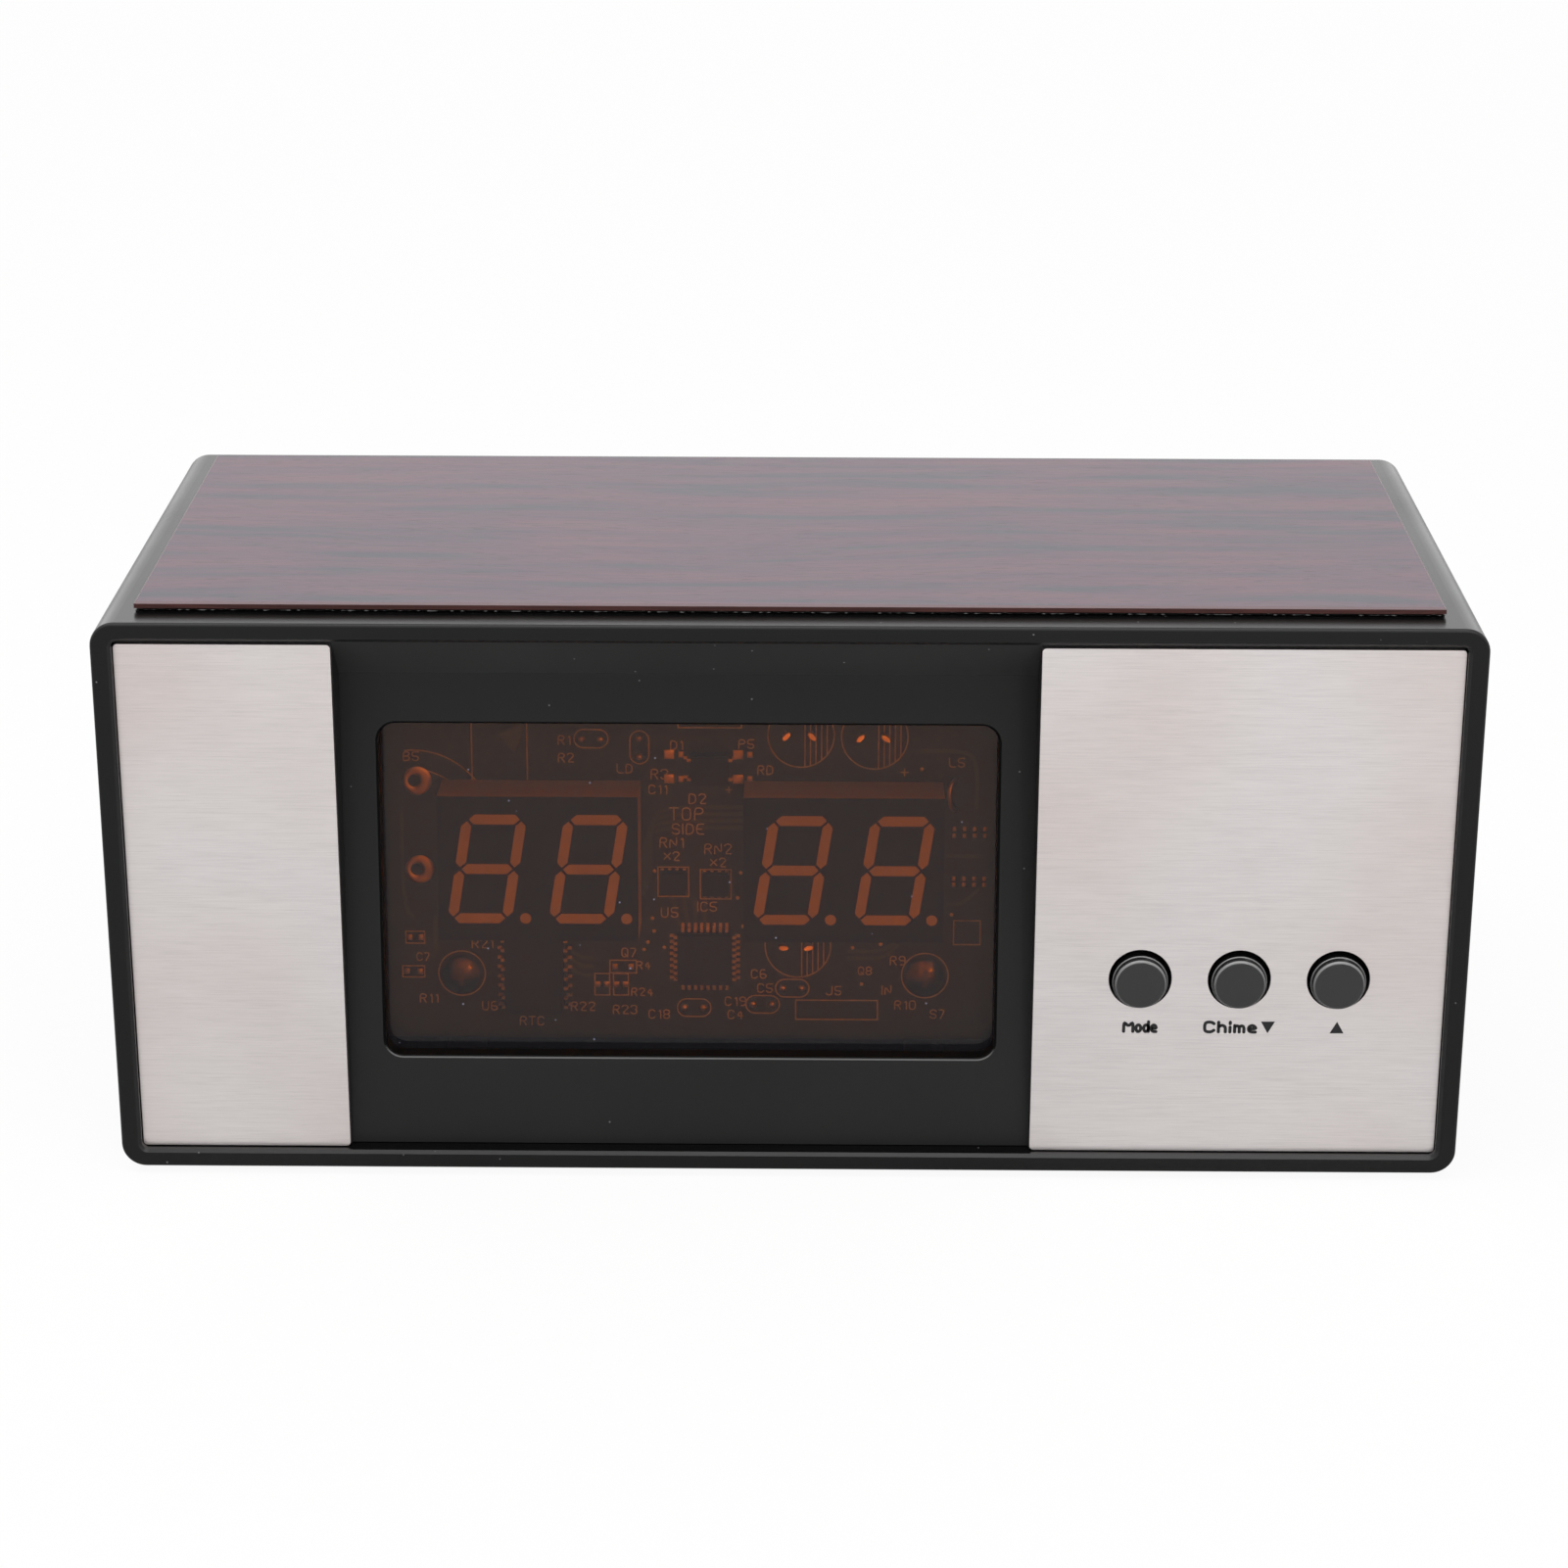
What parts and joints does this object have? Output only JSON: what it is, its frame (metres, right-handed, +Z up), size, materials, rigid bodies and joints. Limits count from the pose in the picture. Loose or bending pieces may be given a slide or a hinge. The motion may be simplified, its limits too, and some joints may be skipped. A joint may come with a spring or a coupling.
{
  "type": "desk alarm clock",
  "caption": "Boxy desk alarm clock with a leaning tinted window over LED digits, steel front plates, round push buttons and a wood-veneered top.",
  "frame": {"origin": "middle of the case's footprint, on the table under the rubber feet", "axes": "+X to the right seen from the front, +Y towards the back, +Z up"},
  "size_m": [0.167, 0.076, 0.0738],
  "materials": {
    "case_plastic": "satin moulded ABS",
    "panel_plastic": "fine-textured moulded ABS",
    "adhesive_pad": "black foam tape",
    "wood_veneer": "satin varnished rosewood veneer",
    "foot_rubber": "matt rubber",
    "brushed_steel": "brushed along its length",
    "amber_acrylic": "polished tinted acrylic",
    "display_housing": "moulded housing with a dark face",
    "display_segment": "cast diffusing resin",
    "circuit_board": "solder mask over glass laminate",
    "chip_epoxy": "moulded epoxy",
    "tinned_lead": "tin plated",
    "bracket_plastic": "moulded nylon",
    "screw_steel": "zinc plated",
    "capacitor_sleeve": "shrunk plastic sleeve",
    "ceramic_coat": "dipped epoxy coat",
    "cell_steel": "nickel plated",
    "header_nylon": "moulded nylon",
    "wire_sleeve": "extruded vinyl",
    "plunger_plastic": "moulded nylon",
    "button_plastic": "satin moulded ABS"
  },
  "bodies": {
    "case": {"case_shell": "case_plastic", "wood_adhesive": "adhesive_pad", "wood_top": "wood_veneer", "rubber_feet": "foot_rubber", "front_panel": "panel_plastic", "front_panel_screws": "screw_steel", "left_plate": "brushed_steel", "right_plate": "brushed_steel", "window_lens": "amber_acrylic", "display_left": "display_housing", "display_right": "display_housing", "display_segments": "display_segment", "main_board": "circuit_board", "microcontroller": "chip_epoxy", "clock_chip": "chip_epoxy", "bridge_rectifier": "chip_epoxy", "resistor_arrays": "chip_epoxy", "chip_leads": "tinned_lead", "lower_bracket": "bracket_plastic", "upper_bracket": "bracket_plastic", "bracket_screws": "screw_steel", "board_screws": "screw_steel", "electrolytic_capacitors": "capacitor_sleeve", "ceramic_capacitors": "ceramic_coat", "battery_holder": "bracket_plastic", "battery_clip": "tinned_lead", "coin_cell": "cell_steel", "buzzer": "bracket_plastic", "button_header": "header_nylon", "supply_header": "header_nylon", "button_board": "circuit_board", "button_board_header": "header_nylon", "button_board_screws": "screw_steel", "switch_bodies": "bracket_plastic", "button_harness": "wire_sleeve", "supply_leads": "wire_sleeve", "rear_cover": "case_plastic", "rear_cover_screws": "screw_steel", "power_jack": "bracket_plastic", "jack_pin": "tinned_lead", "jack_nut": "screw_steel"},
    "left_button": {"button_left": "button_plastic", "plunger_left": "plunger_plastic"},
    "middle_button": {"button_middle": "button_plastic", "plunger_middle": "plunger_plastic"},
    "right_button": {"button_right": "button_plastic", "plunger_right": "plunger_plastic"}
  },
  "joints": [
    {"name": "left_button_press", "type": "slide", "parent": "case", "child": "left_button", "axis": [0, 1, 0], "range_m": [0, 0.00025], "stiffness_N_per_m": 4000},
    {"name": "middle_button_press", "type": "slide", "parent": "case", "child": "middle_button", "axis": [0, 1, 0], "range_m": [0, 0.00025], "stiffness_N_per_m": 4000},
    {"name": "right_button_press", "type": "slide", "parent": "case", "child": "right_button", "axis": [0, 1, 0], "range_m": [0, 0.00025], "stiffness_N_per_m": 4000}
  ]
}
